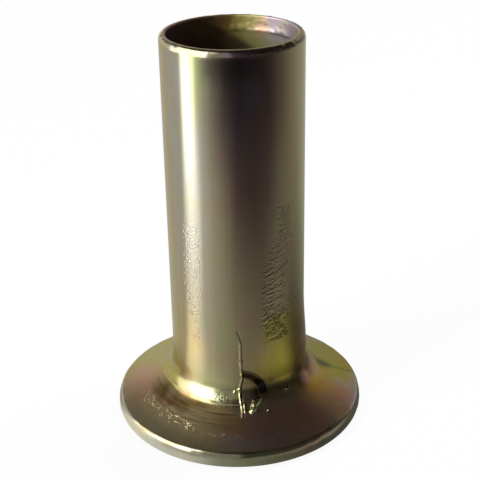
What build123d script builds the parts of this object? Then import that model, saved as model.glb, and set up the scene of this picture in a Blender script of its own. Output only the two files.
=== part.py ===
from build123d import *
import os
from math import atan2, cos, hypot, sin, sqrt, tan

# Hollow rivet, drawn and pressed from steel strip in one piece: an open tube with a broad,
# slightly conical head. Millimetres. The origin is the centre of the ring that it stands on,
# +Z runs along the axis to the open end, and -Y and +Y are the two sides where the halves of
# the gripping die met and left their mark on the neck.

# Tube
shank_diameter = 10.0
wall = 0.5
overall_length = 29.3
mouth_rounding = 0.38
mouth_edge_chamfer = 0.05  # at the bore
flare_depth = 1.0          # last stretch of the bore, opened a little by the trimming punch
flare_step = 0.06

# Head
head_diameter = 18.8
head_height = 3.3          # where the head's upper face would meet the shank with no neck fillet
head_thickness = 1.15      # square to the face
face_hollow = 0.14         # how far the upper face sags below a straight cone
rim_height = 1.28
rim_draft = 0.09           # how far the rim leans in between its widest point and its top edge
rim_rounding = 0.5
rim_edge_rounding = 0.12
rest_width = 0.25          # flat ring that the rivet stands on
neck_fillet = 1.8
funnel_radius = 3.0        # sweep of the metal from the head's underside into the bore

# Marks of the split gripping die: the -X half left a thicker neck with a crisp outer edge,
# and a low fin of metal stands where the halves met
land_climb = 1.25          # top of the thicker neck above head_height
land_width = 0.7           # how far it spreads over the head
land_step = 0.1            # height of its outer edge above the head's face
seam_climb = 5.3           # top of the fin above head_height
seam_width = 0.14
seam_height = 0.06
seam_taper_length = 0.8
seam_run_out = 0.35        # how far the fin runs on over the head past the thicker neck

# Radii and heights that follow from them
shank_radius = shank_diameter / 2
bore_radius = shank_radius - wall
mid_wall_radius = shank_radius - wall / 2
mouth_radius = bore_radius + flare_step
lip_rounding = min(mouth_rounding, 0.8 * (wall - flare_step))
head_radius = head_diameter / 2
rim_top_radius = head_radius - rim_draft
rest_outer_radius = head_radius - rim_rounding
rest_inner_radius = rest_outer_radius - rest_width
flare_height = overall_length - flare_depth

# The head's upper face is an arc in section, its centre above the head
face_run = rim_top_radius - shank_radius
face_fall = head_height - rim_height
face_chord = hypot(face_run, face_fall)
face_angle = atan2(face_fall, face_run)
face_radius = (face_chord**2 / 4 + face_hollow**2) / (2 * face_hollow)
face_centre_radius = shank_radius + face_run / 2 + (face_radius - face_hollow) * sin(face_angle)
face_centre_height = rim_height + face_fall / 2 + (face_radius - face_hollow) * cos(face_angle)
underside_height = head_height + wall * tan(face_angle) - head_thickness / cos(face_angle)


def face_height(radius):
    """Height of the head's upper face at a radius."""
    return face_centre_height - sqrt(face_radius**2 - (radius - face_centre_radius) ** 2)


def corner(radius, height):
    """The corner of the current sketch nearest to a radius and a height."""
    return vertices().sort_by_distance((radius, height))[0]


land_radius = shank_radius + land_width
land_foot = face_height(land_radius) + land_step
land_root = face_height(land_radius) - land_step
land_top = head_height + land_climb
seam_top = head_height + seam_climb
seam_end_radius = land_radius + seam_run_out
fin_radius = shank_radius + seam_height

with BuildPart() as rivet_body:
    # Section through the wall, turned about the axis
    with BuildSketch(Plane.XZ):
        with BuildLine():
            underside = Line((bore_radius, underside_height), (rest_inner_radius, 0))
            rest = Line(underside @ 1, (rest_outer_radius, 0))
            lower_rim = TangentArc(rest @ 1, (head_radius, rim_rounding), tangent=(1, 0))
            upper_rim = TangentArc(lower_rim @ 1, (rim_top_radius, rim_height), tangent=(0, 1))
            face = RadiusArc(upper_rim @ 1, (shank_radius, head_height), face_radius)
            shank = Line(face @ 1, (shank_radius, overall_length))
            lip = Line(shank @ 1, (mouth_radius, overall_length))
            flare = Line(lip @ 1, (bore_radius, flare_height))
            bore = Line(flare @ 1, underside @ 0)
        make_face()
        fillet(corner(shank_radius, head_height), neck_fillet)
        fillet(corner(rim_top_radius, rim_height), rim_edge_rounding)
        fillet(corner(bore_radius, underside_height), funnel_radius)
        fillet(corner(shank_radius, overall_length), lip_rounding)
        chamfer(corner(mouth_radius, overall_length), mouth_edge_chamfer)
    revolve(axis=Axis.Z)

    # Thicker neck of the -X half
    with BuildSketch(Plane.YZ):
        with BuildLine():
            land_skin = TangentArc((shank_radius, land_top), (land_radius, land_foot), tangent=(0, -1))
            land_edge = Line(land_skin @ 1, (land_radius, land_root))
            land_bed = Line(land_edge @ 1, (shank_radius, land_root))
            land_back = Line(land_bed @ 1, (mid_wall_radius, land_top))
            Line(land_back @ 1, land_skin @ 0)
        make_face()
    revolve(axis=Axis.Z, revolution_arc=180)

    # Fin along each joint of the die, thinning out up the shank
    with BuildSketch(Plane.YZ):
        with BuildLine():
            fin_tip = Line((shank_radius - seam_height, seam_top), (fin_radius, seam_top - seam_taper_length))
            fin_crest = Line(fin_tip @ 1, (fin_radius, land_top))
            fin_neck = TangentArc(fin_crest @ 1, (land_radius + seam_height, land_foot), tangent=(0, -1))
            fin_foot = Line(fin_neck @ 1, (seam_end_radius, face_height(seam_end_radius) - seam_height))
            fin_bed = Line(fin_foot @ 1, (land_radius, land_root))
            fin_root = Line(fin_bed @ 1, (shank_radius, land_root))
            fin_back = Line(fin_root @ 1, (mid_wall_radius, land_top))
            fin_spine = Line(fin_back @ 1, (mid_wall_radius, seam_top))
            Line(fin_spine @ 1, fin_tip @ 0)
        make_face()
    extrude(amount=seam_width / 2, both=True)
    mirror(about=Plane.XZ, mode=Mode.ADD)

rivet_body.part.label = "rivet_body"

os.makedirs("parts", exist_ok=True)
export_step(rivet_body.part, "parts/rivet_body.step")
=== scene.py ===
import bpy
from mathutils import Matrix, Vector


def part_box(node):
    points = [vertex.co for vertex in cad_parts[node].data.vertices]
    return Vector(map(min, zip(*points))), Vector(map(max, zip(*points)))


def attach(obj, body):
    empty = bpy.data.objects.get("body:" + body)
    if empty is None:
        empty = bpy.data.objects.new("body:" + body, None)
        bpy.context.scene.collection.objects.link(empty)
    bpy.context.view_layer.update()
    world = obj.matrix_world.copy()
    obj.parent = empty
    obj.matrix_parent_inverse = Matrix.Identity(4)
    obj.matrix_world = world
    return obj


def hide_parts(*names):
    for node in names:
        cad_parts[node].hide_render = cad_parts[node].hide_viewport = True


bl_info = {
    "name": "Hollow Rivet",
    "version": (1, 0, 0),
    "blender": (4, 5, 0),
    "location": "View3D > Sidebar > Rivet",
    "description": "Dresses a pressed hollow rivet in its plated finish and sets a small studio round it",
    "category": "Object",
}

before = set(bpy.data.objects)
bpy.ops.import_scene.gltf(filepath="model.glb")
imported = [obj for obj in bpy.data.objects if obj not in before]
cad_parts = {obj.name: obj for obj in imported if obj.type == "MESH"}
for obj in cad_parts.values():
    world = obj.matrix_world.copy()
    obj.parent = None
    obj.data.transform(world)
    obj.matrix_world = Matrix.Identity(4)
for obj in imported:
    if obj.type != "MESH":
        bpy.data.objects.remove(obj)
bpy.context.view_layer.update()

import random
from math import asin, atan2, ceil, cos, degrees, exp, hypot, inf, pi, radians, sin, sqrt, tan
from types import SimpleNamespace

import bmesh
import bpy
from bpy.props import FloatProperty, FloatVectorProperty, PointerProperty
from mathutils import Matrix, Vector, noise

MM = 0.001
# The rivet's box gives its overall length and its head's radius
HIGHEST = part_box("rivet_body")[1]


def linear(hex_colour):
    """An sRGB hex colour as linear red, green and blue."""
    channels = [int(hex_colour[i:i + 2], 16) / 255 for i in (0, 2, 4)]
    return tuple(c / 12.92 if c <= 0.04045 else ((c + 0.055) / 1.055) ** 2.4 for c in channels)


def length(name, description, millimetres):
    """A length property, given in millimetres."""
    return FloatProperty(
        name=name, description=description, default=millimetres * MM, unit="LENGTH", precision=5
    )


def colour(name, description, hex_colour):
    """A colour property, given as sRGB hex."""
    return FloatVectorProperty(
        name=name, description=description, default=linear(hex_colour), subtype="COLOR", size=3, min=0, max=1
    )


def in_mm(sizes):
    """The lengths of a property group in millimetres, the unit that the shapes are worked in."""
    return SimpleNamespace(**{name: getattr(sizes, name) / MM for name in sizes.__annotations__})


# ---------------------------------------------------------------------------------------------
# Properties
# ---------------------------------------------------------------------------------------------


class RivetSizes(bpy.types.PropertyGroup):
    """Lengths of the rivet's section. The overall length and the head's diameter come from the frame."""

    shank_radius: length("Shank radius", "Outside radius of the tube", 5.0)
    wall: length("Wall", "Thickness of the tube's wall", 0.5)
    lip_draw: length("Lip draw", "Radius over which the open end first draws in", 0.7)
    lip_rounding: length("Lip rounding", "Rounding at the top of the open end", 0.25)
    flare_step: length("Flare step", "How far the bore opens at its mouth", 0.01)
    flare_depth: length("Flare depth", "Length of the stretch of bore that opens", 1.0)
    mouth_chamfer: length("Mouth chamfer", "Broken inner edge of the mouth", 0.05)
    head_height: length("Head height", "Where the head's face would meet the shank", 3.3)
    head_thickness: length("Head thickness", "Thickness of the head square to its face", 1.15)
    face_hollow: length("Face hollow", "How far the face sags below a straight cone", 0.14)
    rim_height: length("Rim height", "Height of the rim's upper edge", 1.28)
    rim_draft: length("Rim draft", "How far the rim leans in towards its upper edge", 0.2)
    rim_rounding: length("Rim rounding", "Rounding under the rim", 0.5)
    rim_edge_rounding: length("Rim edge rounding", "Width of the rounding on the rim's upper edge", 0.13)
    rest_width: length("Rest width", "Width of the flat ring that the rivet stands on", 0.25)
    neck_fillet: length("Neck fillet", "Radius between the shank and the head's face", 1.8)
    funnel_radius: length("Funnel radius", "Sweep from the head's underside into the bore", 3.0)


class RivetMarks(bpy.types.PropertyGroup):
    """Lengths of the marks that the press left."""

    land_reach: length("Land reach", "How far the thicker half of the neck spreads past the shank", 0.62)
    land_thickness: length("Land thickness", "How much thicker that half of the neck is", 0.11)
    land_top: length("Land top", "Height at which the thicker neck begins", 5.6)
    seam_height: length("Seam height", "How far the fin stands out of the neck", 0.07)
    seam_width: length("Seam width", "Width of the fin at its foot", 0.16)
    seam_top: length("Seam top", "Height at which the fin starts", 8.5)
    hollow_depth: length("Hollow depth", "Depth of the hollow beside the fin", 0.08)
    wrinkle_depth: length("Wrinkle depth", "Depth of the folds in the drawn skin", 0.03)


class RivetFinish(bpy.types.PropertyGroup):
    """Colours of the plating."""

    straw: colour("Straw", "Commonest colour of the film", "b8af95")
    khaki: colour("Khaki", "Film a little thicker than straw", "bfaf86")
    olive: colour("Olive", "Thick film", "bba638")
    green: colour("Green", "Thick film where it turns green", "afb680")
    lime: colour("Lime", "Thickest film", "a9ae28")
    gold: colour("Gold", "Warm film", "c8b27c")
    tan: colour("Tan", "Film on the head", "c3a777")
    rose: colour("Rose", "Thin film", "cd9c86")
    plum: colour("Plum", "Thin dark film", "b8938b")
    russet: colour("Russet", "Film that the press rubbed", "c08a62")
    orange: colour("Orange", "Film beside a rubbed place", "cb9f42")
    umber: colour("Umber", "Thick film that the die scorched", "7c5722")
    lavender: colour("Lavender", "Thinnest film", "bcacc0")
    zinc: colour("Zinc", "Nearly bare plate", "b8b5a8")
    # This dark stands for dried dirt and for painted shade: in cracks, hollows, folds, pits, the bore, and
    # under the lip and the rim
    shade_and_grime: colour("Grime", "Dried dirt in cracks", "332b2a")


class RivetStudio(bpy.types.PropertyGroup):
    """Camera distances."""

    camera_distance: length("Camera distance", "From the rivet's axis, along the floor", 72.1)
    camera_height: length("Camera height", "Above the floor", 48.2)


# ---------------------------------------------------------------------------------------------
# Section and body
# ---------------------------------------------------------------------------------------------


def line_to(bm, pen, radius, height, spacing):
    """Draws a straight run of the section from the pen and returns its end."""
    start, end = pen.co.copy(), Vector((radius, 0, height))
    steps = max(1, ceil((end - start).length / spacing))
    for step in range(1, steps + 1):
        pen = bmesh.ops.extrude_vert_indiv(bm, verts=[pen])["verts"][0]
        pen.co = start.lerp(end, step / steps)
    return pen


def arc_to(bm, pen, radius, height, turn, spacing):
    """Sweeps the pen about a centre by an angle, anticlockwise, and returns its end."""
    centre = Vector((radius, 0, height))
    steps = max(2, ceil((pen.co - centre).length * abs(turn) / spacing))
    swept = bmesh.ops.spin(bm, geom=[pen], cent=centre, axis=(0, -1, 0), angle=turn, steps=steps)
    return next(v for v in swept["geom_last"] if isinstance(v, bmesh.types.BMVert))


# How far round the open end draws in before it rounds over
LIP_TURN = radians(30)

# Points closer than this are one, in millimetres
SAME_POINT = 0.0001

# Segments round the rivet's axis
STEPS = 240


def draw_section(bm, s):
    """Draws the closed section of the wall in the XZ plane, in millimetres."""
    top, head_radius = HIGHEST.z / MM, HIGHEST.x / MM
    bore_radius = s.shank_radius - s.wall
    mouth_radius = bore_radius + s.flare_step
    rim_top_radius = head_radius - s.rim_draft
    rest_outer = head_radius - s.rim_rounding
    rest_inner = rest_outer - s.rest_width

    # The face is an arc whose centre stands above the head, and the neck's arc touches it inside
    run, fall = rim_top_radius - s.shank_radius, s.head_height - s.rim_height
    slope = atan2(fall, run)
    face_radius = (hypot(run, fall) ** 2 / 4 + s.face_hollow ** 2) / (2 * s.face_hollow)
    face_x = s.shank_radius + run / 2 + (face_radius - s.face_hollow) * sin(slope)
    face_z = s.rim_height + fall / 2 + (face_radius - s.face_hollow) * cos(slope)
    neck_x = s.shank_radius + s.neck_fillet
    neck_z = face_z - sqrt((face_radius - s.neck_fillet) ** 2 - (neck_x - face_x) ** 2)
    foot_angle = atan2(neck_z - face_z, neck_x - face_x)
    rim_angle = atan2(s.rim_height - face_z, rim_top_radius - face_x)

    # The funnel's arc touches the bore and the underside
    underside_z = s.head_height + s.wall * tan(slope) - s.head_thickness / cos(slope)
    funnel_turn = pi / 2 - atan2(underside_z, rest_inner - bore_radius)
    funnel_z = underside_z + s.funnel_radius * tan(funnel_turn / 2)

    # The open end draws in by a wide arc and then rounds over by a tight one
    lip_height = (s.lip_draw - s.lip_rounding) * sin(LIP_TURN) + s.lip_rounding
    lip_radius = s.shank_radius - s.lip_draw + (s.lip_draw - s.lip_rounding) * cos(LIP_TURN)

    # The rim's side is an arc that starts upright where the rounding under the rim ends
    rim_rise = s.rim_height - s.rim_rounding
    rim_curve = (rim_rise ** 2 + s.rim_draft ** 2) / (2 * s.rim_draft)

    # Points stand closer where the skin carries marks. The last number of each run is their spacing
    start_depth, seen_depth, under_lip = 3.4, 8, 1.5
    seam_end, folds_end = 8, 18.8
    lip_foot = top - lip_height
    start = Vector((bore_radius, 0, top - start_depth))
    pen = bmesh.ops.create_vert(bm, co=start)["vert"][0]
    pen = line_to(bm, pen, bore_radius, top - seen_depth, 0.8)
    pen = line_to(bm, pen, bore_radius, funnel_z, 2)
    pen = arc_to(bm, pen, bore_radius + s.funnel_radius, funnel_z, funnel_turn, 0.35)
    pen = line_to(bm, pen, rest_inner, 0, 1.2)
    pen = line_to(bm, pen, rest_outer, 0, 0.25)
    pen = arc_to(bm, pen, rest_outer, s.rim_rounding, pi / 2, 0.1)
    pen = arc_to(bm, pen, head_radius - rim_curve, s.rim_rounding, asin(rim_rise / rim_curve), 0.15)
    rim_edge = pen
    pen = arc_to(bm, pen, face_x, face_z, foot_angle - rim_angle, 0.14)
    pen = arc_to(bm, pen, neck_x, neck_z, -pi - foot_angle, 0.07)
    for height, spacing in ((seam_end, 0.2), (folds_end, 0.28), (top - under_lip, 0.6), (lip_foot, 0.2)):
        pen = line_to(bm, pen, s.shank_radius, height, spacing)
    pen = arc_to(bm, pen, s.shank_radius - s.lip_draw, lip_foot, LIP_TURN, 0.06)
    pen = arc_to(bm, pen, lip_radius, top - s.lip_rounding, pi / 2 - LIP_TURN, 0.05)
    pen = line_to(bm, pen, mouth_radius + s.mouth_chamfer, top, 0.05)
    pen = line_to(bm, pen, mouth_radius, top - s.mouth_chamfer, 0.05)
    pen = line_to(bm, pen, bore_radius, top - s.flare_depth, 0.09)
    line_to(bm, pen, start.x, start.z, 0.12)
    bmesh.ops.remove_doubles(bm, verts=bm.verts, dist=SAME_POINT)
    bmesh.ops.bevel(
        bm, geom=[rim_edge], offset=s.rim_edge_rounding, segments=4, profile=0.5, affect="VERTICES",
        material=-1,
    )
    return SimpleNamespace(top=top, head_radius=head_radius, lip_height=lip_height, lip_radius=lip_radius)


def azimuth(point):
    """Angle of a point about the axis, from -Y towards +X, in degrees."""
    return degrees(atan2(point.x, -point.y))


def smooth(low, high, value):
    """Eases from 0 at low to 1 at high."""
    t = min(max((value - low) / (high - low), 0), 1)
    return t * t * (3 - 2 * t)


def window(value, low, high, edge):
    """1 between low and high, easing to 0 over edge outside them."""
    return smooth(low - edge, low, value) * (1 - smooth(high, high + edge, value))


# Past the shank the walk goes on by a share of each millimetre outwards: over the fillet, then over the face
FILLET_REACH, FILLET_SHARE, FACE_SHARE = 0.93, 0.27, 0.62

# Walk at which the neck's foot meets the head's face
NECK_FOOT = 2.7


def walk(point, s):
    """Height of a point on the outer skin, counted on down the neck and out over the head."""
    past = max(hypot(point.x, point.y) - s.shank_radius, 0)
    return point.z - FILLET_SHARE * min(past, FILLET_REACH) - FACE_SHARE * max(past - FILLET_REACH, 0)


def bump(distance, reach):
    """1 at no distance, easing to 0 at the reach."""
    return 1 - smooth(0, reach, abs(distance))


def offset_from(points, u, w):
    """Signed distance of a place on the unrolled skin from a line of points, + to its right going down."""
    best, side = inf, 1.0
    for (u0, w0), (u1, w1) in zip(points, points[1:]):
        du, dw = u1 - u0, w1 - w0
        t = min(max(((u - u0) * du + (w - w0) * dw) / (du * du + dw * dw), 0), 1)
        away = hypot(u - u0 - t * du, w - w0 - t * dw)
        if away < best:
            best = away
            side = 1.0 if du * (w - w0) - dw * (u - u0) > 0 else -1.0
    return best * side


def runs_round(edge):
    """Whether an edge runs round the axis, at one height and one radius."""
    a, b = (vert.co for vert in edge.verts)
    return abs(a.z - b.z) < 1e-4 and abs(hypot(a.x, a.y) - hypot(b.x, b.y)) < 1e-2


def refine(bm, s, patch):
    """Cuts the faces of a patch finer, round the axis and along the wall."""

    def inside(face):
        centre = face.calc_center_median()
        turn = azimuth(centre)
        if patch.turns[0] > patch.turns[1]:
            in_turn = turn > patch.turns[0] or turn < patch.turns[1]
        else:
            in_turn = patch.turns[0] < turn < patch.turns[1]
        outer = hypot(centre.x, centre.y) > s.shank_radius - 0.1 and face.normal.z > -0.3
        return in_turn and outer and patch.walks[0] < walk(centre, s) < patch.walks[1]

    for rings, cuts in ((True, patch.ring_cuts), (False, patch.run_cuts)):
        bm.normal_update()
        near = dict.fromkeys(edge for face in bm.faces if inside(face) for edge in face.edges)
        known = set(bm.verts)
        edges = [edge for edge in near if runs_round(edge) == rings]
        bmesh.ops.subdivide_edges(bm, edges=edges, cuts=cuts, use_grid_fill=True)
        if rings:
            # the new points move out from the flat between two segments to the round
            half = pi / STEPS
            for vert in bm.verts:
                if vert not in known:
                    off = (atan2(vert.co.x, -vert.co.y) % (2 * half)) - half
                    vert.co.xy *= cos(off) / cos(half)


def add_piece(name, bm):
    """Makes an object of a bmesh worked in millimetres."""
    bmesh.ops.scale(bm, vec=(MM, MM, MM), verts=bm.verts)
    mesh = bpy.data.meshes.new(name)
    bm.to_mesh(mesh)
    bm.free()
    mesh.shade_smooth()
    piece = bpy.data.objects.new(name, mesh)
    bpy.context.scene.collection.objects.link(piece)
    return piece


# Patches of the skin that carry fine marks, as degrees about the axis and walks along the skin
PATCHES = (
    SimpleNamespace(turns=(-7.5, 18), walks=(1.6, 6.2), ring_cuts=3, run_cuts=2),
    SimpleNamespace(turns=(-4.5, 4.5), walks=(6.2, 9.3), ring_cuts=3, run_cuts=2),
    SimpleNamespace(turns=(175, -175), walks=(1.2, 9.3), ring_cuts=1, run_cuts=1),
    SimpleNamespace(turns=(14, 54), walks=(7.2, 18.4), ring_cuts=2, run_cuts=4),
    SimpleNamespace(turns=(-54, -29), walks=(7.4, 17.6), ring_cuts=2, run_cuts=4),
    SimpleNamespace(turns=(-78, -27), walks=(0.3, 1.1), ring_cuts=4, run_cuts=2),
    SimpleNamespace(turns=(37, 43), walks=(2.9, 3.6), ring_cuts=2, run_cuts=1),
    SimpleNamespace(turns=(-24, -7.5), walks=(2.8, 3.8), ring_cuts=2, run_cuts=1),
)

# The torn line where the die's halves met, as (side step, walk) in millimetres
SEAM_LINE = (
    (-0.03, 8.0), (0.01, 7.65), (0.0, 6.5), (0.05, 5.45), (0.11, 4.85), (-0.02, 4.3), (-0.09, 4.0),
    (-0.07, 3.38), (0.02, 2.76), (0.06, 2.3), (0.02, 1.7),
)
SEAM_HOOK = ((-0.22, 8.75), (-0.02, 8.25), (0.04, 7.85))
SEAM_FORK = ((-0.09, 4.0), (-0.34, 3.86), (-0.47, 3.84), (-0.52, 3.66))

# Raised slivers that the die tore up at the foot of the neck: lines of points, half width and height
SLIVERS = (
    (((1.26, 2.98), (0.96, 2.7), (0.8, 2.32)), 0.3, 0.22), (((0.94, 3.0), (0.84, 2.74)), 0.15, 0.14),
    (((0.2, 2.85), (0.22, 2.4)), 0.2, 0.05), (((0.2, 2.38), (0.9, 2.3), (1.5, 2.24)), 0.08, 0.06),
    (((1.93, 2.2), (2.0, 2.14)), 0.09, 0.1), (((3.6, 3.2), (3.78, 3.28)), 0.12, 0.12),
)

# The long folds of the drawn skin, as (side step, walk) in millimetres
LONG_FOLDS = (
    ((2.9, 14.63), (3.85, 14.88)), ((1.9, 12.97), (2.9, 13.2), (3.85, 13.65)), ((2.0, 11.55), (2.95, 11.55)),
    ((2.3, 11.9), (3.25, 12.05)), ((3.1, 16.75), (3.7, 16.5)), ((3.9, 15.6), (4.35, 15.15)),
    ((2.4, 14.2), (3.4, 14.3)), ((1.75, 9.9), (2.4, 10.6)), ((3.1, 9.95), (3.85, 9.8)),
    ((2.1, 10.85), (3.3, 11.1)), ((3.2, 13.1), (4.1, 12.9)),
)

# Short folds strewn between them: how many, lowest and highest walk, length and depth
SHORT_FOLDS = ((300, 9.6, 18, 0.4, 0.6), (170, 7.6, 10.6, 0.17, 1.0))
LONG_HALF_WIDTH, SHORT_HALF_WIDTH, LONG_DEPTH = 0.04, 0.034, 0.8

# The folds' far side step, and how steeply they rise in degrees, on the whole and with their spread
FOLDS_END, FOLD_RISE = 4.35, (13, 24)


def draw_folds():
    """The folds of the drawn skin, each as points, half width and depth."""
    folds = [(line, LONG_HALF_WIDTH, LONG_DEPTH) for line in LONG_FOLDS]
    strew = random.Random(11)
    for count, low, high, size, depth in SHORT_FOLDS:
        for _ in range(count):
            w = strew.uniform(low, high)
            start = 1.5 + 1.4 * smooth(12, 17.5, w) + 0.4 * smooth(8.9, 7.8, w)
            u = strew.triangular(start, FOLDS_END, 0.5 * FOLDS_END + 0.5 * start)
            reach, rise = size * strew.uniform(0.4, 1.4), radians(strew.gauss(*FOLD_RISE))
            bend = strew.uniform(-0.1, 0.1)
            step = (reach / 2 * cos(rise), reach / 2 * sin(rise))
            line = ((u - step[0], w - step[1]), (u, w + bend), (u + step[0], w + step[1]))
            folds.append((line, SHORT_HALF_WIDTH, depth * strew.uniform(0.4, 1.0)))
    return folds


def fold_depth(folds, u, w):
    """Depth of the folds at a place, from 0 to 1, and the height of the lips beside them."""
    depth = lip = 0.0
    for line, half_width, strength in folds:
        if line[0][1] - 0.75 < w < line[0][1] + 0.95 and line[0][0] - 0.2 < u < line[-1][0] + 0.2:
            away = offset_from(line, u, w)
            depth = max(depth, strength * bump(away, half_width * 1.6))
            lip = max(lip, strength * bump(away + 2.2 * half_width, half_width * 2))
    return depth, lip


# Where each colour of the film shows: colour, degrees about the axis, walk, and the spreads of the two.
# The walk in the bore is the height.
OUTER_FILM = (
    ("plum", 14, 24, 14, 9), ("lavender", 8, 26.5, 9, 3), ("green", -34, 28, 6, 2.5),
    ("zinc", -56, 22, 6, 7), ("khaki", 48, 18, 14, 9), ("khaki", -72, 17, 12, 12), ("green", 70, 17, 7, 7),
    ("green", -78, 8, 9, 5), ("straw", -28, 12, 14, 4), ("green", -15, 8.5, 5, 2), ("zinc", -37, 18, 8, 6),
    ("khaki", -56, 8, 8, 3), ("tan", 10, 4.3, 8, 0.45), ("khaki", 8, 10, 22, 6), ("olive", 36, 6, 20, 2.6),
    ("olive", 28, 4.9, 16, 1.5), ("umber", 57, 5.6, 11, 3.2), ("umber", 74, 6, 8, 3),
    ("lime", 26, 8.6, 8, 0.9), ("lime", 44, 8.6, 9, 0.8), ("lime", 38, 5.3, 10, 1.6),
    ("green", -18, 3.8, 18, 1.5), ("gold", -42, 6.5, 9, 3), ("olive", -70, 5.6, 14, 2.6),
    ("khaki", -14, 5.6, 14, 1.4), ("green", -122, 0.9, 16, 3), ("olive", -128, 0.4, 20, 2),
    ("lime", -112, 1.6, 14, 0.8), ("rose", -98, 0.8, 22, 1.2), ("olive", -84, 3.9, 16, 1.3),
    ("gold", -18, 1.9, 13, 0.6), ("russet", -6, 1.2, 7, 0.8), ("umber", -44, 1.9, 22, 0.5),
    ("gold", -48, 0.7, 20, 0.4), ("khaki", -45, -0.3, 25, 0.6), ("zinc", -34, 3.5, 12, 0.5),
    ("plum", 24, 0.4, 26, 2.2), ("lavender", 0, -0.4, 10, 0.6), ("plum", 24, 2.9, 20, 0.5),
    ("russet", 36, 1.0, 12, 1.2), ("russet", 54, 1.0, 14, 1.5), ("orange", 62, 2.2, 9, 0.6),
    ("khaki", -30, 0.9, 20, 0.5), ("orange", 70, 1.8, 9, 1.0), ("rose", 74, 0, 8, 0.9),
    ("lavender", 80, -0.9, 10, 0.5), ("olive", 100, 0.4, 16, 2.4), ("lime", 98, 1.6, 12, 0.9),
    ("lime", 92, 0.4, 12, 1.2), ("umber", 66, 4.6, 12, 1.2), ("umber", -52, 4.1, 8, 0.5),
    ("orange", 88, 1.5, 8, 0.9), ("rose", 84, 2.95, 7, 0.45), ("rose", 86, 2.9, 8, 0.5),
    ("lime", 114, 1.1, 10, 0.9), ("green", 20, -1.8, 30, 0.8),
)
BORE_FILM = (
    ("olive", 172, 28, 11, 2), ("green", 166, 28.4, 10, 1), ("green", 158, 27, 14, 0.8),
    ("rose", 152, 28.6, 4, 0.5), ("lavender", 140, 28.6, 9, 1), ("zinc", 130, 28.2, 8, 1.2),
    ("lavender", 114, 28.4, 10, 1.2), ("umber", -160, 28, 40, 1.5), ("plum", -110, 27, 40, 6),
)


# Walks at which the head's film ends, the neck's film begins and the rim's film ends
HEAD_FILM_TOP, NECK_FILM_FOOT, RIM_FILM_TOP = 2.6, 2.9, -0.95


def film_colour(co, s, finish):
    """The chromate film's colour at a place, in linear red, green and blue."""
    radius, turn, down = hypot(co.x, co.y), azimuth(co), walk(co, s)
    wander = 1.7 if down < NECK_FOOT else 1.0
    turn += wander * (7 * noise.noise(co / 2.2) + 4 * noise.noise(co / 0.7))
    wide_drift = noise.noise(co / 1.7 + Vector((7, 0, 0)))
    down += wander * (0.5 * wide_drift + 0.2 * noise.noise(co / 0.6 + Vector((0, 7, 0))))
    inner = radius < s.shank_radius - s.wall / 2
    if inner:
        base = "khaki"
    elif down > NECK_FILM_FOOT:
        base = "straw"
    else:
        base = "tan" if down > RIM_FILM_TOP else "zinc"
    total, colours = 0.06, 0.06 * Vector(getattr(finish, base))
    for name, at_turn, at_walk, turn_spread, walk_spread in BORE_FILM if inner else OUTER_FILM:
        apart = ((turn - at_turn + 180) % 360 - 180) / turn_spread
        share = exp(-(apart ** 2) - ((down - at_walk) / walk_spread) ** 2)
        from_head = at_walk < HEAD_FILM_TOP and down > NECK_FILM_FOOT
        from_neck = at_walk > 3.5 and down < NECK_FOOT
        if from_head or from_neck or down < -1.35:
            share *= 0.2
        total += share
        colours += share * Vector(getattr(finish, name))
    return colours / total


def bore_shade(round_turn, depth):
    """How much painted shade dims the bore: least on its right, and more below a slanting line, where the
    lip's shadow falls.
    """
    line = 1.3 + 0.05 * (178 - round_turn)
    return max(0.6 * (1 - window(round_turn, 100, 179, 24)), 0.78 * smooth(line - 0.25, line + 0.45, depth))


# Each mark changes a spot p of the skin: its move along the normal or its shift, in millimetres, its film,
# its dirt and painted shade (dark), its pebbled grain (coarse) and its glint. A place is divided by the size
# of the noise's patches, in millimetres or degrees, and a bare number beside it picks one pattern of the
# noise.

# How deep the mouth is tooled, in millimetres
TOOLED_DEPTH = 3.3


def tool_mouth(p, shape):
    """Tooled mouth: over part of its round a wavy ledge, above which the bore opens to the lip."""
    depth, round_turn = shape.top - p.co.z, p.turn % 360
    tooled = window(round_turn, 122, 174, 14)
    ledge = 1.12 + 0.1 * noise.noise(Vector((p.turn / 14, 4, 0)))
    ledge += 0.06 * noise.noise(Vector((p.turn / 3, 9, 0)))
    push = 0.1 * (1 - depth / ledge) if depth < ledge else 0
    push -= 0.06 * smooth(ledge - 0.5, ledge + 0.03, depth) * smooth(TOOLED_DEPTH, 1.3, depth)
    scar = 0.05 * max(noise.noise(Vector((p.turn / 5, depth / 0.3, 2))), 0) * window(depth, 0.2, 1.1, 0.2)
    p.dull = 2.4 - 1.2 * tooled * window(depth, 0.9, 1.15, 0.1)
    # painted shade in the bore, fading out just under the lip
    p.dark = bore_shade(round_turn, depth) * smooth(0.02, 0.15, depth)
    place = min(p.radius + tooled * (push - scar), shape.lip_radius)
    p.shift = p.outward * (place - p.radius)


def uneven_lip(p, shape):
    """The lip is a little uneven, and darker in a ragged band on the right of its front."""
    depth = shape.top - p.co.z
    near_top = smooth(shape.lip_height, 0, depth)
    uneven = noise.noise(Vector((p.turn / 7, 0, 1)))
    uneven += 0.6 * noise.noise(Vector((p.turn / 2, depth / 0.3, 1)))
    # a ragged depth below the lip's top, which picks the darker band on the right of the lip's front
    rubbed = depth + 0.12 * noise.noise(Vector((p.turn / 3, 2, 8)))
    p.dull = 0.45 * near_top
    p.dark = 0.65 * window(rubbed, 0.1, 0.26, 0.08) * window(p.turn, 12, 72, 14)
    p.shift = 0.035 * uneven * near_top * Vector((0, 0, 1)) + 0.02 * uneven * near_top * p.outward


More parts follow.
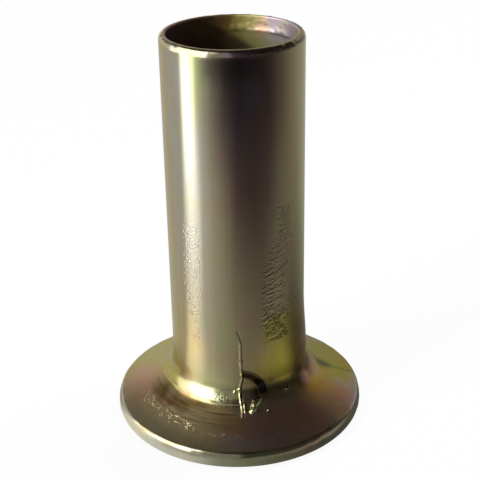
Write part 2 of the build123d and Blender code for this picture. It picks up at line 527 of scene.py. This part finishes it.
def shade_underneath(p, s, shape):
    """Painted shade in the bore, and a painted contact shadow under the foot of the rim, most on its right.
    """
    if p.radius < s.shank_radius - 0.33 and p.co.z > 4:
        # painted shade in the bore
        p.dark = bore_shade(p.turn % 360, shape.top - p.co.z)
    elif p.co.z < 0.45 and p.radius > shape.head_radius - 0.6:
        # painted contact shadow under the rim's foot, deepest and highest on its right
        right = window(p.turn, 48, 120, 26)
        p.dark = smooth(0.34 + 0.2 * right, 0.14 + 0.2 * right, p.co.z) * (0.3 + 0.65 * right)


def thicken_neck(p, s, m):
    """The thicker half of the neck, which ends in a crisp edge on the head."""
    if p.radius < s.shank_radius + m.land_reach + 0.01:
        full_height = 2.9
        grown = min(max((m.land_top - p.co.z) / (m.land_top - full_height), 0), 1)
        p.move += m.land_thickness * grown ** 2 * p.left


def raise_fin(p, m):
    """The fin at each joint of the die: even at the back, ragged and undercut on its right at the front, with
    a painted shadow along its right and painted shade in the hooked groove at its top.
    """
    if abs(p.seam_u) >= 1.2 or p.w >= 9:
        return
    tall = m.seam_height * smooth(m.seam_top, m.seam_top - 1, p.w) * smooth(1.6, 2.2, p.w)
    if p.back:
        p.move += tall * bump(p.seam_u, m.seam_width / 2)
        return
    ragged = 0.8 + 0.6 * noise.noise(Vector((3, p.w / 0.3, 5)))
    p.move += tall * ragged * smooth(-m.seam_width, 0, p.side) * (1 - smooth(0.0, 0.04, p.side))
    below = smooth(8.2, 7.6, p.w) * smooth(1.5, 2.0, p.w)
    # along the fin's right the skin sinks a little and is painted dark: a painted shadow
    p.move -= 0.04 * bump(p.side - 0.08, 0.07) * below
    p.dark += bump(p.side - 0.1, 0.07) * below
    # a hooked groove at the fin's top, painted dark: painted shade
    hook = bump(offset_from(SEAM_HOOK, p.u, p.w), 0.07)
    p.move -= 0.03 * hook
    p.dark += 0.8 * hook
    p.move += 0.06 * bump(offset_from(SEAM_FORK, p.u, p.w), 0.08)


def sink_hollow(p, m):
    """The hollow beside the fin, with painted shade in a ring round its edge and on its floor."""
    right = smooth(0.0, 0.05, p.side)
    # 0 in the middle of the hollow and 1 at its edge
    hollow = hypot(p.u / 1.65, (p.w - 3.2) / 1.95)
    p.move -= m.hollow_depth * (1 - smooth(0.78, 1.14, hollow)) * smooth(NECK_FOOT, 3.6, p.w) * right
    # painted shade in a ring round the hollow's edge
    p.dark += 0.72 * window(hollow, 0.9, 1.16, 0.09) * smooth(NECK_FOOT, 4.2, p.w) * right
    # painted shade on the hollow's floor, more towards its foot
    floor_shade = (1 - smooth(0.72, 0.86, hollow)) * (0.1 + 0.3 * smooth(4.0, 3.75, p.w))
    p.dark += floor_shade * smooth(NECK_FOOT, 3.4, p.w) * right


def tear_slivers(p, finish):
    """Torn slivers at the foot of the fin, rough, and free of the painted shade around them."""
    for line, half_width, height in SLIVERS:
        torn = bump(offset_from(line, p.u, p.w), half_width)
        p.move += height * torn
        if torn > 0.05:
            bright = min(torn * 5, 1)
            p.film = p.coat.lerp(Vector(finish.green), bright)
            p.dark *= 1 - bright
            p.coarse = max(p.coarse, bright)


def shade_neck(p):
    """Painted shade in a dark hem along the right of the neck's foot, and a painted shadow under the lip."""
    hem = 3.75 + 0.6 * smooth(44, 16, p.turn) + 0.35 * smooth(40, 56, p.turn)
    hem += 0.2 * noise.noise(Vector((p.turn / 6, 1, 4)))
    # the hem's dark is painted shade, where the neck's foot meets the head on its right
    dirt = 0.6 * smooth(hem + 0.5, hem - 0.1, p.w) * smooth(NECK_FOOT, 3.6, p.w)
    p.dark += dirt * window(p.turn, 14, 60, 8) * smooth(0, 0.3, p.side)
    if p.w > 26:
        # painted shadow under the lip, on its front
        shadow_walk = p.w + 0.5 * noise.noise(Vector((p.turn / 9, 5, 5)))
        p.dark += 0.45 * smooth(26.6, 28.1, shadow_walk) * window(p.turn, -20, 18, 12)


def fold_right_side(p, m, folds):
    """Folds of the drawn skin on the right, with a fine ripple between them."""
    if not (14 < p.turn < 54 and 7.4 < p.w < 18.2):
        return
    deep, lip = fold_depth(folds, p.u, p.w)
    edge = 1.3 + 1.4 * smooth(12, 17.5, p.w)
    where = smooth(edge, edge + 0.9, p.u) * smooth(4.6, 4.1, p.u)
    where *= window(p.w, 8, 17, 0.9)
    pattern = 3 + noise.noise(Vector((p.u / 0.5, p.w / 0.5, 0)))
    ripple = noise.noise(Vector(((p.u + 0.2 * p.w) / 0.4, (p.w - 0.25 * p.u) / 0.13, pattern)))
    p.move += m.wrinkle_depth * (0.9 * lip - deep + 0.5 * where * ripple)
    # the folds and the ripple's troughs are painted darker: painted shade
    p.dark += (0.3 + 0.5 * smooth(10.8, 9.6, p.w)) * deep + 0.3 * where * max(-ripple, 0)
    p.coarse = where


def pit_left_side(p, m):
    """Fine irregular pitting of the drawn skin on the left."""
    stray = 3 * noise.noise(Vector((p.w / 0.9, 0, 5))) + 4 * noise.noise(Vector((p.w / 0.25, p.u / 0.5, 6)))
    pitted = window(p.turn + stray, -48 + 6 * smooth(12, 9, p.w), -35, 4) * window(p.w, 7.9, 16.2, 1.2)
    if pitted > 0:
        pits = noise.noise(Vector((p.u / 0.16, p.w / 0.13, 9)))
        pits += 0.5 * noise.noise(Vector((p.u / 0.3, p.w / 0.2, 12)))
        pits *= 0.55 + 0.9 * noise.noise(Vector((p.u / 0.6, p.w / 0.6, 12)))
        p.move += 0.9 * m.wrinkle_depth * pitted * pits
        # the pits are painted darker, more lower down: painted shade
        p.dark += 0.8 * pitted * max(-pits, 0) * smooth(16, 9, p.w)
        p.coarse = max(p.coarse, pitted)


def pit_foot(p):
    """Pits in the bright foot of the neck."""
    if -25 < p.turn < -5 and 2.6 < p.w < 4:
        pitted = window(p.turn, -20, -10, 3) * window(p.w, 3.0, 3.5, 0.2)
        speck = noise.noise(Vector((p.u / 0.11, p.w / 0.11, 15)))
        speck += 0.5 * noise.noise(Vector((p.u / 0.3, p.w / 0.25, 16)))
        p.move -= 0.013 * pitted * speck
        # the pits are painted darker: painted shade
        p.dark += 0.8 * pitted * max(speck, 0)


def ring_head(p):
    """Rings that the press left on the left of the head, and a faint dark band near its edge."""
    rings = noise.noise(Vector((p.radius / 0.17, p.turn / 32, 3))) * window(p.radius, 5.8, 7.2, 0.3)
    rings *= window(p.turn, -72, -12, 20) * (1 + 0.6 * noise.noise(Vector((p.radius / 0.5, p.turn / 9, 8))))
    p.move += 0.016 * rings
    p.dark += 1.1 * max(-rings, 0)
    p.dark += 0.12 * window(p.radius, 8.5, 9.0, 0.35) * window(p.turn, -70, -12, 14)


def sparkle_head(p, finish):
    """A band of sparkling grain on the left of the head, which thins out towards its front."""
    ragged = p.radius + 0.3 * noise.noise(Vector((p.turn / 5, p.radius / 0.5, 7)))
    sparkle = window(ragged, 7.3, 7.7, 0.3) * window(p.turn, -72, -32, 10)
    sparkle += 0.5 * window(p.radius, 7.8, 7.9, 0.1) * window(p.turn, -30, -4, 6)
    ticks = noise.noise(Vector((p.u / 0.13, p.w / 0.08, 6)))
    ticks *= smooth(-0.2, 0.3, noise.noise(Vector((p.u / 0.5, p.w / 0.3, 2))))
    p.move += 0.045 * sparkle * ticks
    p.glint = min(sparkle, 1) * smooth(0, 0.35, ticks)
    # the glinting grains are also painted towards the pale straw: a painted highlight
    if p.glint > 0:
        p.film = p.coat.lerp(Vector(finish.straw), 0.8 * p.glint)


def stain_head(p):
    """A dark stain that runs out across the right of the head."""
    stray = radians(p.turn - 96 - 8 * smooth(6.3, 5.8, p.radius)) * p.radius
    p.dark += (0.35 + 0.4 * smooth(7.6, 6.8, p.radius)) * bump(stray, 0.3 + 0.8 * smooth(7.8, 6.6, p.radius))


def blush_neck(p, finish):
    """A rosy spot at the right of the neck, free of the painted shade around it."""
    blush = bump(hypot((p.turn - 62) / 9, (p.w - 3.25) / 0.8), 1)
    if blush > 0:
        p.film = p.coat.lerp(Vector(finish.rose), min(2.2 * blush, 1))
        p.dark *= 1 - blush


def locate(p, s):
    """Adds a spot's place on the unrolled outer skin, and where it stands from the die's joint."""
    p.u, p.w = radians(p.turn) * p.radius, walk(p.co, s)
    p.back = abs(p.turn) > 90
    p.side = offset_from(SEAM_LINE, p.u, p.w) if abs(p.u) < 2 else p.u
    if p.back:
        p.seam_u = radians(p.turn - 180 if p.turn > 0 else p.turn + 180) * p.radius
        p.left = smooth(-0.03, 0.03, p.seam_u)
    else:
        p.seam_u = p.u
        p.left = 0 if p.co.x > 0.4 else smooth(0.03, -0.03, p.side)


def mark_outside(p, s, m, finish, shape, folds):
    """All the marks of the outer skin, in the order in which they lie over each other."""
    locate(p, s)
    thicken_neck(p, s, m)
    raise_fin(p, m)
    if 0 < p.u < 4.2 and p.w < 7:
        sink_hollow(p, m)
        tear_slivers(p, finish)
    shade_neck(p)
    fold_right_side(p, m, folds)
    pit_left_side(p, m)
    pit_foot(p)
    if p.w < 2.5 and p.radius < shape.head_radius - 0.2:
        ring_head(p)
        sparkle_head(p, finish)
        stain_head(p)
    if p.radius > shape.head_radius - 0.5:
        # the rim is a little dented
        p.move += 0.02 * noise.noise(p.co / 0.7)
    blush_neck(p, finish)

    # the tube swells a little towards the neck on its right
    swell = 0.2 * smooth(9.6, 4.8, p.co.z) * smooth(2.45, 2.95, p.co.z) * window(p.turn, 65, 125, 40)
    p.shift = p.normal * p.move + p.outward * swell

    # the head and the neck's foot are satin, the tube and the rim brighter
    satin = max(smooth(5.4 - 2.4 * p.left, 2.4, p.w), 0.45 * window(p.w, 3.0, 4.4, 0.6) * p.left)
    on_face = smooth(shape.head_radius - 0.15, shape.head_radius - 0.4, p.radius)
    satin *= on_face * (1 - 0.9 * min(p.coarse, 1))
    p.dull = satin * (1 - 0.12 * window(p.turn, -75, -45, 15)) + 2 * p.glint


def press_marks(bm, s, m, finish, shape):
    """Moves the skin by the marks of the die and of the drawing, and notes its film, dirt, painted shade and
    finish.
    """
    bm.normal_update()
    floats = bm.verts.layers.float
    # one layer holds dirt and painted shade together, which the material mixes towards the dark colour
    shade_and_dirt, grain, dull = floats.new("shade_and_dirt"), floats.new("grain"), floats.new("dull")
    film = bm.verts.layers.float_color.new("film")
    folds = draw_folds()
    shifts = []
    for vert in bm.verts:
        co = vert.co
        coat = film_colour(co, s, finish)
        p = SimpleNamespace(
            co=co, normal=vert.normal, radius=hypot(co.x, co.y), turn=azimuth(co), coat=coat, film=coat,
            outward=Vector((co.x, co.y, 0)).normalized(), shift=Vector(),
            move=0.0, dark=0.0, coarse=0.0, glint=0.0, dull=0.0,
        )
        if p.radius < shape.lip_radius + 0.02 and co.z > shape.top - TOOLED_DEPTH:
            tool_mouth(p, shape)
        elif co.z > shape.top - shape.lip_height - 0.1:
            uneven_lip(p, shape)
        elif p.radius < s.shank_radius - 0.02 or p.normal.z < -0.2:
            shade_underneath(p, s, shape)
        else:
            mark_outside(p, s, m, finish, shape, folds)
        vert[film] = (*p.film, 1)
        vert[shade_and_dirt] = min(p.dark, 1)
        vert[grain] = p.coarse
        vert[dull] = p.dull
        shifts.append(p.shift)
    for vert, shift in zip(bm.verts, shifts):
        vert.co += shift


def build_body(sizes, marks, finish):
    """The rivet's skin, turned from its section, with the marks of its making."""
    s, m = in_mm(sizes), in_mm(marks)
    bm = bmesh.new()
    shape = draw_section(bm, s)
    bmesh.ops.spin(
        bm, geom=bm.verts[:] + bm.edges[:], cent=(0, 0, 0), axis=(0, 0, 1), angle=2 * pi, steps=STEPS,
        use_merge=True,
    )
    bmesh.ops.remove_doubles(bm, verts=bm.verts, dist=SAME_POINT)
    bmesh.ops.recalc_face_normals(bm, faces=bm.faces)
    for patch in PATCHES:
        refine(bm, s, patch)
    press_marks(bm, s, m, finish, shape)
    return add_piece("rivet_skin", bm)


# ---------------------------------------------------------------------------------------------
# Materials
# ---------------------------------------------------------------------------------------------


def add_node(tree, kind, links=None, **settings):
    """Adds a shader node, sets its properties and unlinked sockets, and links the named sockets."""
    node = tree.nodes.new(kind)
    for name, value in settings.items():
        if hasattr(node, name):
            setattr(node, name, value)
    for socket, source in (links or {}).items():
        target = node.inputs[socket]
        if isinstance(source, bpy.types.NodeSocket):
            tree.links.new(source, target)
        else:
            target.default_value = source
    return node


def new_material(name):
    """An empty node material."""
    material = bpy.data.materials.new(name)
    material.use_nodes = True
    material.node_tree.nodes.clear()
    return material


# A Mix node's sockets for two colours, and its output for their mix
FIRST_COLOUR, SECOND_COLOUR, MIXED_COLOUR = 6, 7, 2

# Where the film drifts from its own colour: the colour, the size of the patches in millimetres, the noise at
# which a patch starts and is full, and how much of the colour it then takes
DRIFTS = (("khaki", 1.3, 0.4, 0.7, 0.2), ("green", 2.1, 0.54, 0.68, 0.34), ("rose", 1.7, 0.56, 0.7, 0.26))

# Lines of the drawing are this wide and long, and the pressing's pebbled grain is this fine and deep, in
# millimetres
LINE_WIDTH, LINE_LENGTH, PEBBLE, PEBBLE_DEPTH = 0.35, 30, 0.09, 0.02

# The plate's own roughness, and how much a wholly dull spot adds
BRIGHT_ROUGHNESS, DULL_ROUGHNESS = 0.15, 0.17


def chromated_zinc(finish):
    """Yellow chromated zinc plate on pressed steel: a satin metal under a thin film whose
    thickness drifts, which shades the straw colour to olive, green, rose, plum and brown."""
    material = new_material("yellow_chromated_zinc")
    tree = material.node_tree
    place = add_node(tree, "ShaderNodeTexCoord").outputs["Object"]
    stored = {
        name: add_node(tree, "ShaderNodeAttribute", attribute_name=name).outputs
        for name in ("film", "shade_and_dirt", "dull", "grain")
    }
    film, shade_and_grime = stored["film"]["Color"], (*finish.shade_and_grime, 1)
    for hue, size, low, high, most in DRIFTS:
        shift = (size * MM, 3 * size * MM, 7 * size * MM)
        moved = add_node(tree, "ShaderNodeMapping", {"Vector": place, "Location": shift})
        drift = add_node(tree, "ShaderNodeTexNoise", {
            "Vector": moved.outputs["Vector"], "Scale": 1 / (size * MM), "Detail": 3.0, "Roughness": 0.6,
        })
        spread = add_node(tree, "ShaderNodeMapRange", {
            "Value": drift.outputs["Fac"], "From Min": low, "From Max": high, "To Min": 0.0, "To Max": most,
        })
        links = {
            "Factor": spread.outputs["Result"], FIRST_COLOUR: film, SECOND_COLOUR: (*getattr(finish, hue), 1),
        }
        film = add_node(tree, "ShaderNodeMix", links, data_type="RGBA").outputs[MIXED_COLOUR]

    # lines of the drawing run along the tube
    line_scale = (1 / (LINE_WIDTH * MM), 1 / (LINE_WIDTH * MM), 1 / (LINE_LENGTH * MM))
    stretched = add_node(tree, "ShaderNodeMapping", {"Vector": place, "Scale": line_scale})
    lines = add_node(tree, "ShaderNodeTexNoise", {
        "Vector": stretched.outputs["Vector"], "Scale": 1.0, "Detail": 2.0,
    })
    shade = add_node(tree, "ShaderNodeMapRange", {
        "Value": lines.outputs["Fac"], "From Min": 0.3, "From Max": 0.7, "To Min": 0.0, "To Max": 0.07,
    })

    # the drawing's lines take a little of the dark colour, and the stored mask of dirt and painted shade
    # takes more
    coat = film
    for factor in (shade.outputs["Result"], stored["shade_and_dirt"]["Fac"]):
        links = {"Factor": factor, FIRST_COLOUR: coat, SECOND_COLOUR: shade_and_grime}
        coat = add_node(tree, "ShaderNodeMix", links, data_type="RGBA").outputs[MIXED_COLOUR]
    roughness = add_node(
        tree, "ShaderNodeMath", {0: stored["dull"]["Fac"], 1: DULL_ROUGHNESS, 2: BRIGHT_ROUGHNESS},
        operation="MULTIPLY_ADD",
    )
    pebble = add_node(tree, "ShaderNodeTexNoise", {
        "Vector": place, "Scale": 1 / (PEBBLE * MM), "Detail": 2.0,
    })
    strength = add_node(
        tree, "ShaderNodeMath", {0: stored["grain"]["Fac"], 1: 0.5, 2: 0.03}, operation="MULTIPLY_ADD",
    )
    relief = add_node(tree, "ShaderNodeBump", {
        "Strength": strength.outputs[0], "Distance": PEBBLE_DEPTH * MM, "Height": pebble.outputs["Fac"],
    })
    shader = add_node(tree, "ShaderNodeBsdfPrincipled", {
        "Base Color": coat, "Metallic": 1.0, "Specular Tint": (1, 0.98, 0.87, 1),
        "Roughness": roughness.outputs[0], "Normal": relief.outputs[0],
    })
    add_node(tree, "ShaderNodeOutputMaterial", {"Surface": shader.outputs["BSDF"]})
    return material


# ---------------------------------------------------------------------------------------------
# Stage
# ---------------------------------------------------------------------------------------------


def shows_to_rays(tree, names):
    """1 for the rays named, 0 for the rest."""
    path = add_node(tree, "ShaderNodeLightPath")
    total = path.outputs[names[0]]
    for name in names[1:]:
        links = {0: total, 1: path.outputs[name]}
        total = add_node(tree, "ShaderNodeMath", links, operation="MAXIMUM").outputs[0]
    return total


BACKGROUND_RAYS = ("Is Camera Ray", "Is Glossy Ray", "Is Transmission Ray")


def pale_floor():
    """White painted board: even and matt. It keeps a soft shadow."""
    material = new_material("white_painted_board")
    tree = material.node_tree
    board = add_node(tree, "ShaderNodeBsdfDiffuse", {"Color": (0.8, 0.8, 0.8, 1)})
    glow = add_node(tree, "ShaderNodeEmission", {"Color": (1, 1, 1, 1), "Strength": 1.0})
    seen = shows_to_rays(tree, BACKGROUND_RAYS)
    # a little of the board's own shading shows past the glow, so its soft shadow stays
    share = add_node(tree, "ShaderNodeMath", {0: seen, 1: 0.92}, operation="MULTIPLY").outputs[0]
    mixed = add_node(tree, "ShaderNodeMixShader", {0: share, 1: board.outputs[0], 2: glow.outputs[0]})
    add_node(tree, "ShaderNodeOutputMaterial", {"Surface": mixed.outputs[0]})
    return material


def card_paper(name, tone):
    """Matt card of one grey tone."""
    material = new_material(name)
    tree = material.node_tree
    card = add_node(tree, "ShaderNodeBsdfDiffuse", {"Color": (tone, tone, tone, 1)})
    add_node(tree, "ShaderNodeOutputMaterial", {"Surface": card.outputs[0]})
    return material


def lit_panel(name, strength):
    """Even light panel behind opal sheet."""
    material = new_material(name)
    tree = material.node_tree
    glow = add_node(tree, "ShaderNodeEmission", {"Color": (1, 1, 1, 1), "Strength": strength})
    add_node(tree, "ShaderNodeOutputMaterial", {"Surface": glow.outputs[0]})
    return material


# Brightness of the reflected sheet by degrees from the rivet's left round its front, at the rivet's rim and
# then farther and farther out
RIM_TONES = (
    (0, 0.5), (14, 1.1), (30, 1.2), (44, 1.05), (64, 0.9), (78, 0.4), (104, 0.19), (134, 0.1), (164, 0.13),
    (194, 0.15), (230, 0.13), (344, 0.4),
)
NEAR_TONES = (
    (0, 0.75), (10, 1.5), (23, 1.6), (32, 1.3), (42, 0.75), (60, 0.48), (90, 0.28), (112, 0.28),
    (130, 0.38), (152, 0.45), (174, 0.13), (225, 0.24), (314, 0.6),
)
CLOSE_TONES = (
    (0, 0.75), (10, 1.5), (23, 1.5), (36, 0.75), (60, 0.48), (90, 0.27), (112, 0.21), (130, 0.18),
    (160, 0.3), (182, 0.12), (225, 0.24), (314, 0.6),
)
MID_TONES = (
    (0, 1.0), (12, 2.3), (25, 1.9), (36, 0.76), (60, 0.45), (76, 0.27), (92, 0.1), (115, 0.07), (140, 0.1),
    (165, 0.21), (200, 0.28), (225, 0.42), (314, 0.6),
)
FAR_TONES = (
    (0, 1.0), (7, 4.0), (20, 4.0), (29, 1.0), (42, 0.5), (60, 0.2), (75, 0.055), (95, 0.02), (145, 0.045),
    (170, 0.13), (205, 0.36), (240, 0.5), (314, 0.6),
)
# Brightness of the ceiling by millimetres to the right of the rivet
CEILING_TONES = (
    (-300, 0.28), (-170, 0.18), (-115, 0.06), (-70, 0.036), (-30, 0.015), (10, 0.004), (60, 0.025),
    (120, 0.055), (200, 0.02), (300, 0.015),
)

# How far the ceiling's tones run to the left and to the right, in millimetres
CEILING_REACH = 300

# The brightness that a ramp's white stands for
BRIGHTEST = 4.0

# Stretches over which the sheet's tones change from one to the next, in millimetres from the rivet's axis
SHEET_STRETCHES = (
    (NEAR_TONES, 10.5, 13.5), (CLOSE_TONES, 14.5, 20), (MID_TONES, 20, 47), (FAR_TONES, 47, 80),
)


def tone_ramp(tree, place, tones, scale):
    """A tone that follows a place between 0 and 1, from pairs of a place and a brightness."""
    ramp = add_node(tree, "ShaderNodeValToRGB", {"Fac": place})
    stops = ramp.color_ramp.elements
    for _ in tones[2:]:
        stops.new(0.5)
    for stop, (at, brightness) in zip(stops, tones):
        stop.position, stop.color = at / scale, (*(brightness / BRIGHTEST,) * 3, 1)
    return ramp.outputs["Color"]


def graded_sheet():
    """Opal sheet lit from behind: bright at the rivet's left, graded to dark round its front."""
    material = new_material("graded_opal_sheet")
    tree = material.node_tree
    place = add_node(tree, "ShaderNodeTexCoord").outputs["Object"]
    turn = add_node(tree, "ShaderNodeTexGradient", {"Vector": place}, gradient_type="RADIAL").outputs["Fac"]
    away = add_node(tree, "ShaderNodeVectorMath", {0: place}, operation="LENGTH")
    tone = tone_ramp(tree, turn, RIM_TONES, 360)
    for tones, start, end in SHEET_STRETCHES:
        share = add_node(tree, "ShaderNodeMapRange", {
            "Value": away.outputs["Value"], "From Min": start * MM, "From Max": end * MM,
        })
        farther = tone_ramp(tree, turn, tones, 360)
        links = {"Factor": share.outputs["Result"], FIRST_COLOUR: tone, SECOND_COLOUR: farther}
        tone = add_node(tree, "ShaderNodeMix", links, data_type="RGBA").outputs[MIXED_COLOUR]
    glow = add_node(tree, "ShaderNodeEmission", {"Color": tone, "Strength": BRIGHTEST})
    add_node(tree, "ShaderNodeOutputMaterial", {"Surface": glow.outputs[0]})
    return material


def graded_ceiling():
    """Opal sheet lit from behind, graded from left to right."""
    material = new_material("graded_opal_ceiling")
    tree = material.node_tree
    place = add_node(tree, "ShaderNodeTexCoord").outputs["Object"]
    across = add_node(tree, "ShaderNodeSeparateXYZ", {"Vector": place}).outputs["X"]
    share = add_node(tree, "ShaderNodeMapRange", {
        "Value": across, "From Min": -CEILING_REACH * MM, "From Max": CEILING_REACH * MM,
    })
    tones = [(at + CEILING_REACH, brightness) for at, brightness in CEILING_TONES]
    tone = tone_ramp(tree, share.outputs["Result"], tones, 2 * CEILING_REACH)
    glow = add_node(tree, "ShaderNodeEmission", {"Color": tone, "Strength": BRIGHTEST})
    add_node(tree, "ShaderNodeOutputMaterial", {"Surface": glow.outputs[0]})
    return material


def add_panel(name, corners, material, reflected_only=True):
    """A flat stage panel over its corners, in millimetres."""
    bm = bmesh.new()
    verts = [bmesh.ops.create_vert(bm, co=Vector(corner) * MM)["vert"][0] for corner in corners]
    bmesh.ops.contextual_create(bm, geom=verts)
    bmesh.ops.recalc_face_normals(bm, faces=bm.faces)
    mesh = bpy.data.meshes.new(name)
    bm.to_mesh(mesh)
    bm.free()
    panel = bpy.data.objects.new(name, mesh)
    bpy.context.scene.collection.objects.link(panel)
    panel.data.materials.append(material)
    if reflected_only:
        panel.visible_camera = panel.visible_diffuse = panel.visible_shadow = False
    return panel


def level(height, *corners):
    """Corners at one height."""
    return [(x, y, height) for x, y in corners]


def upright(start, end, height, foot=0):
    """Corners of a card that stands between two places."""
    return [(*start, foot), (*end, foot), (*end, height), (*start, height)]


def facing(target, place):
    """A matrix at a place whose -Z looks at a target."""
    turn = (target - place).to_track_quat("-Z", "Y")
    return Matrix.Translation(place) @ turn.to_matrix().to_4x4()


def add_lamp(name, place, target, size, power):
    """A soft square white lamp. Its place and size are in millimetres."""
    light = bpy.data.lights.new(name, "AREA")
    light.shape = "SQUARE"
    light.size = size * MM
    light.energy = power
    lamp = bpy.data.objects.new(name, light)
    lamp.matrix_world = facing(Vector(target) * MM, Vector(place) * MM)
    bpy.context.scene.collection.objects.link(lamp)
    return lamp


def set_world():
    """A pale surround that shows as white."""
    world = bpy.data.worlds.new("pale_surround")
    world.use_nodes = True
    tree = world.node_tree
    tree.nodes.clear()
    seen = shows_to_rays(tree, BACKGROUND_RAYS)
    light = add_node(tree, "ShaderNodeBackground", {"Color": (1, 1, 1, 1), "Strength": 0.35})
    white = add_node(tree, "ShaderNodeBackground", {"Color": (1, 1, 1, 1), "Strength": 1.0})
    mixed = add_node(tree, "ShaderNodeMixShader", {0: seen, 1: light.outputs[0], 2: white.outputs[0]})
    add_node(tree, "ShaderNodeOutputWorld", {"Surface": mixed.outputs[0]})
    bpy.context.scene.world = world


# The camera's sensor and lens in millimetres, and in degrees its turn about the rivet and its own turn, tilt
# down and roll
SENSOR_WIDTH, LENS = 36, 81.4
ORBIT, TURN, TILT, ROLL = -1.5, -0.22, 25.59, -1.12


def set_camera(studio):
    """The camera, in front, above and a little to the left of the seam."""
    data = bpy.data.cameras.new("camera")
    data.sensor_width = SENSOR_WIDTH
    data.lens = LENS
    data.clip_start = 1 * MM
    camera = bpy.data.objects.new("camera", data)
    about = Matrix.Rotation(radians(ORBIT), 4, "Z")
    place = Matrix.Translation((0, -studio.camera_distance, studio.camera_height))
    aim = (
        Matrix.Rotation(radians(TURN), 4, "Z")
        @ Matrix.Rotation(radians(90 - TILT), 4, "X")
        @ Matrix.Rotation(radians(ROLL), 4, "Z")
    )
    camera.matrix_world = about @ place @ aim
    bpy.context.scene.collection.objects.link(camera)
    bpy.context.scene.camera = camera


# ---------------------------------------------------------------------------------------------
# Operators and panel
# ---------------------------------------------------------------------------------------------


class RIVET_OT_body(bpy.types.Operator):
    """Build the rivet's skin with its press marks and plating"""

    bl_idname = "rivet.body"
    bl_label = "Build Rivet"

    def execute(self, context):
        scene = context.scene
        skin = build_body(scene.rivet_sizes, scene.rivet_marks, scene.rivet_finish)
        skin.data.materials.append(chromated_zinc(scene.rivet_finish))
        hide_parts("rivet_body")
        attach(skin, "root")
        return {"FINISHED"}


# Heights in millimetres of the ceiling, of the edge between the left's low light and card, and of the lights
CEILING_HEIGHT, LOW_EDGE, LIGHT_HEIGHT = 260, 105, 175


class RIVET_OT_stage(bpy.types.Operator):
    """Lay the floor, set the lamps and cards and place the camera"""

    bl_idname = "rivet.stage"
    bl_label = "Set Stage"

    def execute(self, context):
        floor = ((-1000, -1000), (1000, -1000), (1000, 1000), (-1000, 1000))
        sheet = ((-400, -400), (400, -400), (400, 400), (-400, 400))
        ceiling = ((-CEILING_REACH, -400), (400, -400), (400, 400), (-CEILING_REACH, 400))
        add_panel("floor", level(0, *floor), pale_floor(), reflected_only=False)
        # Apart from the floor, every panel shows only in reflections, not to the camera, in diffuse light or
        # in shadows: the cards, flags and panels paint the bright and dark reflections on the metal
        black = card_paper("black_card", 0.1)
        dim = card_paper("dim_card", 0.26)
        grey = card_paper("grey_card", 0.52)
        add_panel("graded_sheet", level(0.1, *sheet), graded_sheet())
        add_panel("ceiling", level(CEILING_HEIGHT, *ceiling), graded_ceiling())
        add_panel("back_left_card", upright((-300, 60), (-60, 330), CEILING_HEIGHT, foot=LOW_EDGE), dim)
        # these glow as light panels, the cards and the flag among them
        for name, start, end, height, strength in (
            ("back_left_low", (-300, 60), (-60, 330), LOW_EDGE, 0.75),
            ("front_left_card", (-260, -120), (-140, -207), CEILING_HEIGHT, 0.5),
            ("front_card", (-140, -207), (-12, -300), CEILING_HEIGHT, 0.32),
            ("front_flag", (-12, -300), (300, -300), CEILING_HEIGHT, 0.06),
        ):
            add_panel(name, upright(start, end, height), lit_panel(name, strength))
        add_panel("right_flag", upright((300, -300), (300, 120), CEILING_HEIGHT), black)
        add_panel("back_card", upright((300, 120), (40, 340), CEILING_HEIGHT), grey)
        for name, start, end, strength in (
            ("left_light", (-150, -8), (-104, -116), 3.6),
            ("left_light_edge", (-141, 50), (-150, -8), 2.2),
        ):
            add_panel(name, upright(start, end, LIGHT_HEIGHT), lit_panel(name, strength))
        add_lamp("left_softbox", (-150, -85, 150), (0, 0, 4), 70, 0.28)
        fill = add_lamp("overhead_fill", (100, 100, 250), (0, 0, 0), 200, 0.6)
        fill.visible_glossy = False
        set_world()
        set_camera(context.scene.rivet_studio)
        context.scene.view_settings.view_transform = "Standard"
        return {"FINISHED"}


class RIVET_PT_panel(bpy.types.Panel):
    """The rivet's pieces and settings"""

    bl_label = "Hollow Rivet"
    bl_idname = "RIVET_PT_panel"
    bl_space_type = "VIEW_3D"
    bl_region_type = "UI"
    bl_category = "Rivet"

    def draw(self, context):
        scene, layout = context.scene, self.layout
        for operator in OPERATORS:
            layout.operator(operator.bl_idname)
        for name in SETTINGS:
            group = getattr(scene, name)
            box = layout.box()
            for key in group.__annotations__:
                box.prop(group, key)


OPERATORS = (RIVET_OT_body, RIVET_OT_stage)
SETTINGS = {
    "rivet_sizes": RivetSizes,
    "rivet_marks": RivetMarks,
    "rivet_finish": RivetFinish,
    "rivet_studio": RivetStudio,
}


def register():
    for cls in (*SETTINGS.values(), *OPERATORS, RIVET_PT_panel):
        bpy.utils.register_class(cls)
    for name, group in SETTINGS.items():
        setattr(bpy.types.Scene, name, PointerProperty(type=group))


def unregister():
    for name in SETTINGS:
        delattr(bpy.types.Scene, name)
    for cls in reversed((*SETTINGS.values(), *OPERATORS, RIVET_PT_panel)):
        bpy.utils.unregister_class(cls)


def main():
    register()
    bpy.ops.rivet.body()
    bpy.ops.rivet.stage()


if __name__ == "__main__":
    main()
